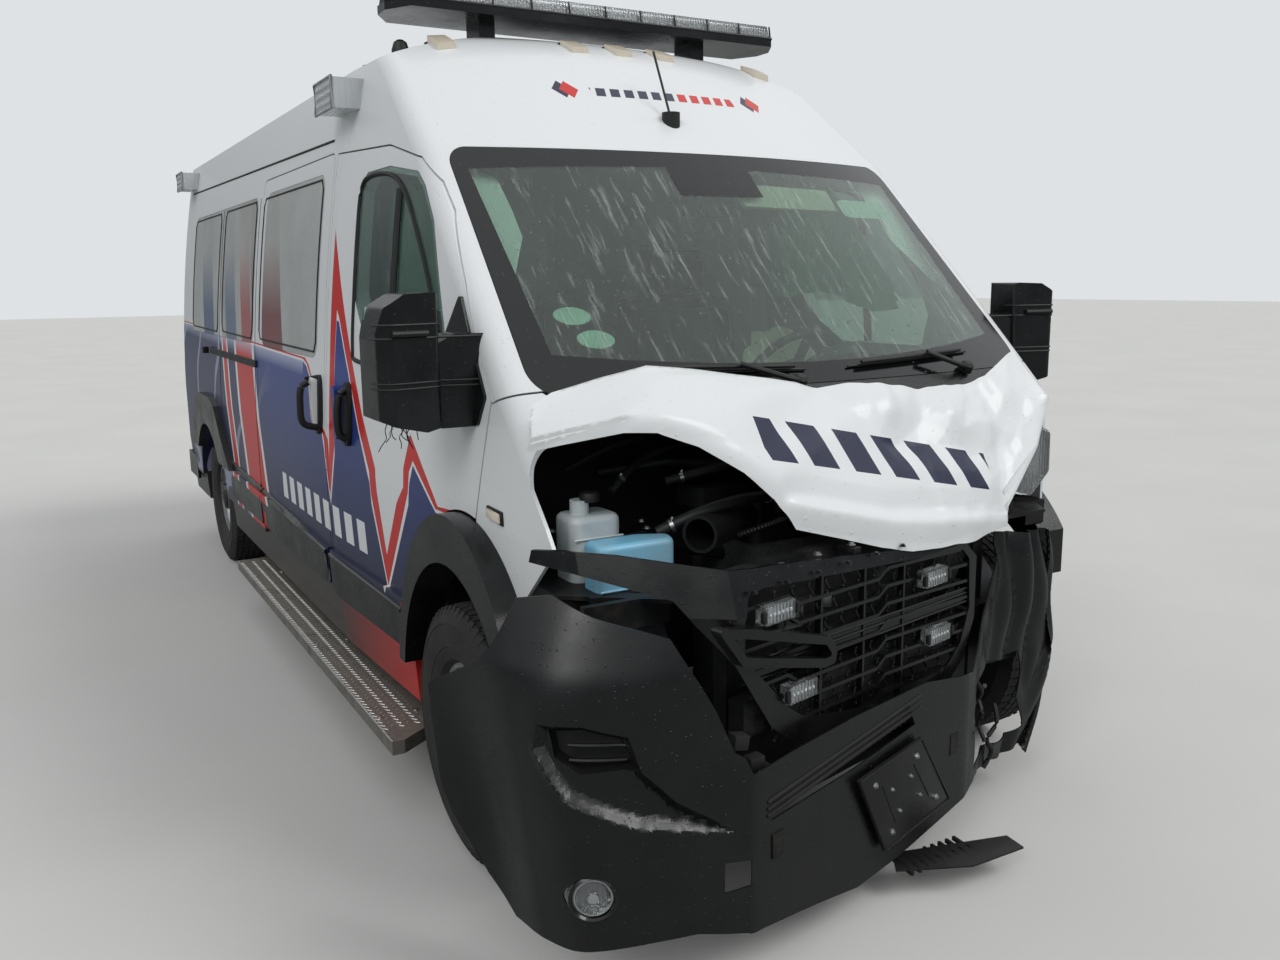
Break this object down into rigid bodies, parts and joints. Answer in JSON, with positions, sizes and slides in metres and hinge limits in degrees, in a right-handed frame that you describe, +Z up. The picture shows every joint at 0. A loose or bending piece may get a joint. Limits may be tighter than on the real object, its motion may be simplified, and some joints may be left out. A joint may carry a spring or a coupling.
{
  "type": "van ambulance with a crushed front",
  "caption": "High-roof van ambulance with a crushed nose, buckled hood, side steps, a roof light bar, hinged cab and rear doors and steered, rolling wheels.",
  "frame": {"origin": "on the ground at the centre of the overall length and width", "axes": "+X is the vehicle's left, +Y points rearwards, +Z up; the vehicle faces -Y"},
  "size_m": [2.4619, 5.998, 2.6233],
  "materials": {
    "tyre": "black rubber",
    "wheel_steel": "silver painted steel",
    "clear_glass": "green tinted glass",
    "filmed_glass": "glass under perforated grey film",
    "white_paint": "gloss white enamel with a coloured wrap",
    "black_plastic": "textured black plastic",
    "grille_plastic": "gloss black plastic",
    "black_steel": "black chassis paint",
    "cast_metal": "cast metal",
    "exhaust_steel": "dull steel",
    "tread_plate": "diamond tread plate",
    "liner": "grey moulded liner",
    "dash_plastic": "dark grey moulded plastic",
    "seat_fabric": "black woven cloth",
    "lamp_lens": "clear polycarbonate",
    "lamp_chrome": "bright metal and clear lens",
    "red_lens": "red polycarbonate",
    "rubber_black": "black rubber",
    "radiator_black": "black steel and aluminium core",
    "tank_plastic": "pale translucent plastic"
  },
  "bodies": {
    "root": {"floor": "liner", "side_left": "white_paint", "side_right": "white_paint", "roof": "white_paint", "firewall": "black_plastic", "windshield": "clear_glass", "partition": "liner", "sliding_door": "white_paint", "side_windows": "filmed_glass", "hood": "white_paint", "fender_left": "white_paint", "fender_right": "white_paint", "bumper": "black_plastic", "grille": "grille_plastic", "front_lamps": "lamp_lens", "radiator_support": "radiator_black", "engine_block": "cast_metal", "engine_bay_pipes": "rubber_black", "fluid_tanks": "tank_plastic", "underframe": "black_steel", "exhaust": "exhaust_steel", "rear_axle": "black_steel", "running_boards": "tread_plate", "cladding": "black_plastic", "rear_bumper": "black_plastic", "tail_lamps": "red_lens", "light_bar": "black_plastic", "light_bar_lens": "lamp_lens", "roof_lamps": "lamp_lens", "scene_lamps": "lamp_chrome", "antenna": "rubber_black", "cowl": "black_plastic", "dashboard": "dash_plastic", "seats": "seat_fabric", "patient_fittings": "liner", "door_pillars": "white_paint"},
    "front_door_left": {"front_door_left": "white_paint", "door_glass_left": "clear_glass", "mirror_left": "black_plastic"},
    "rear_door_left": {"rear_door_left": "white_paint", "rear_glass_left": "clear_glass"},
    "knuckle_left": {"knuckle_left": "black_steel"},
    "wheel_front_left": {"tyre_front_left": "tyre", "wheel_front_left": "wheel_steel"},
    "wheel_rear_left": {"tyre_rear_left": "tyre", "wheel_rear_left": "wheel_steel"},
    "front_door_right": {"front_door_right": "white_paint", "door_glass_right": "clear_glass", "mirror_right": "black_plastic"},
    "rear_door_right": {"rear_door_right": "white_paint", "rear_glass_right": "clear_glass"},
    "knuckle_right": {"knuckle_right": "black_steel"},
    "wheel_front_right": {"tyre_front_right": "tyre", "wheel_front_right": "wheel_steel"},
    "wheel_rear_right": {"tyre_rear_right": "tyre", "wheel_rear_right": "wheel_steel"},
    "steering_wheel": {"steering_wheel": "dash_plastic"}
  },
  "joints": [
    {"name": "front_door_right_hinge", "type": "hinge", "parent": "root", "child": "front_door_right", "pos_m": [-0.9665, -2.214, 1], "axis": [0, 0, 1], "range_deg": [0, 70]},
    {"name": "front_door_left_hinge", "type": "hinge", "parent": "root", "child": "front_door_left", "pos_m": [0.9665, -2.214, 1], "axis": [0, 0, -1], "range_deg": [0, 70]},
    {"name": "rear_door_right_hinge", "type": "hinge", "parent": "root", "child": "rear_door_right", "pos_m": [-0.784, 2.975, 1.4], "axis": [0, 0, 1], "range_deg": [0, 180]},
    {"name": "rear_door_left_hinge", "type": "hinge", "parent": "root", "child": "rear_door_left", "pos_m": [0.784, 2.975, 1.4], "axis": [0, 0, -1], "range_deg": [0, 180]},
    {"name": "steer_left", "type": "hinge", "parent": "root", "child": "knuckle_left", "pos_m": [0.75761, -2.051, 0.372], "axis": [-0.1736, 0, 0.9848], "range_deg": [-35, 35]},
    {"name": "steer_right", "type": "hinge", "parent": "root", "child": "knuckle_right", "pos_m": [-0.75761, -2.051, 0.372], "axis": [0.1736, 0, 0.9848], "range_deg": [-35, 35]},
    {"name": "spin_front_left", "type": "hinge", "parent": "knuckle_left", "child": "wheel_front_left", "pos_m": [0.905, -2.051, 0.372], "axis": [1, 0, 0], "continuous": true},
    {"name": "spin_front_right", "type": "hinge", "parent": "knuckle_right", "child": "wheel_front_right", "pos_m": [-0.905, -2.051, 0.372], "axis": [1, 0, 0], "continuous": true},
    {"name": "spin_rear_left", "type": "hinge", "parent": "root", "child": "wheel_rear_left", "pos_m": [0.895, 1.984, 0.372], "axis": [1, 0, 0], "continuous": true},
    {"name": "spin_rear_right", "type": "hinge", "parent": "root", "child": "wheel_rear_right", "pos_m": [-0.895, 1.984, 0.372], "axis": [1, 0, 0], "continuous": true},
    {"name": "steering_column", "type": "hinge", "parent": "root", "child": "steering_wheel", "pos_m": [0.44, -1.669, 1.29], "axis": [0, 0.8192, 0.5736], "range_deg": [-525, 525]}
  ],
  "couplings": [
    {"joint": "steer_right", "follows": "steer_left", "ratio": 1},
    {"joint": "steering_column", "follows": "steer_left", "ratio": 15}
  ]
}
